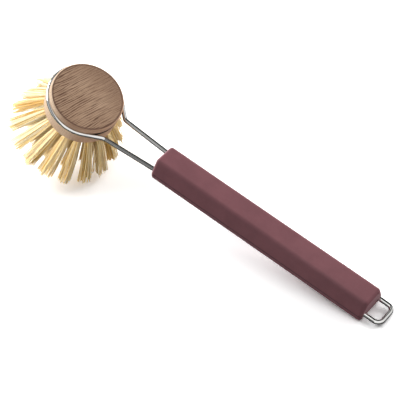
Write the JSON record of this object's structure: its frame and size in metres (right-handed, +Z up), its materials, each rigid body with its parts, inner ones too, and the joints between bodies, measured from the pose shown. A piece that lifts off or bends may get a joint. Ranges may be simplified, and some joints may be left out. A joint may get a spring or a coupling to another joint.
{
  "type": "dish brush",
  "caption": "Dish brush with a round wooden head of fibre tufts, gripped by a bent steel wire that carries a six-sided soft grip and ends in a hang loop.",
  "frame": {"origin": "on the table, under the middle of the resting brush", "axes": "+X along the handle towards the hang loop, +Y across the handle, +Z up from the table"},
  "size_m": [0.2668, 0.0796, 0.0639],
  "materials": {
    "beech": "turned, unvarnished",
    "polished_steel": "polished",
    "silicone": "matte, moulded",
    "plant_fibre": "natural fibre",
    "anchor_steel": "plain drawn"
  },
  "bodies": {
    "frame": {"wire_frame": "polished_steel", "grip": "silicone"},
    "head": {"head_block": "beech", "centre_tuft_01": "plant_fibre", "inner_tuft_01": "plant_fibre", "inner_tuft_02": "plant_fibre", "inner_tuft_03": "plant_fibre", "inner_tuft_04": "plant_fibre", "inner_tuft_05": "plant_fibre", "inner_tuft_06": "plant_fibre", "middle_tuft_01": "plant_fibre", "middle_tuft_02": "plant_fibre", "middle_tuft_03": "plant_fibre", "middle_tuft_04": "plant_fibre", "middle_tuft_05": "plant_fibre", "middle_tuft_06": "plant_fibre", "middle_tuft_07": "plant_fibre", "middle_tuft_08": "plant_fibre", "middle_tuft_09": "plant_fibre", "middle_tuft_10": "plant_fibre", "middle_tuft_11": "plant_fibre", "middle_tuft_12": "plant_fibre", "outer_tuft_01": "plant_fibre", "outer_tuft_02": "plant_fibre", "outer_tuft_03": "plant_fibre", "outer_tuft_04": "plant_fibre", "outer_tuft_05": "plant_fibre", "outer_tuft_06": "plant_fibre", "outer_tuft_07": "plant_fibre", "outer_tuft_08": "plant_fibre", "outer_tuft_09": "plant_fibre", "outer_tuft_10": "plant_fibre", "outer_tuft_11": "plant_fibre", "outer_tuft_12": "plant_fibre", "outer_tuft_13": "plant_fibre", "outer_tuft_14": "plant_fibre", "outer_tuft_15": "plant_fibre", "outer_tuft_16": "plant_fibre", "outer_tuft_17": "plant_fibre", "outer_tuft_18": "plant_fibre", "tuft_anchors": "anchor_steel"}
  },
  "joints": [
    {"name": "head_spin", "type": "hinge", "parent": "frame", "child": "head", "pos_m": [-0.08325, 0, 0.04911], "axis": [0.4692, 0, 0.8831], "continuous": true}
  ]
}
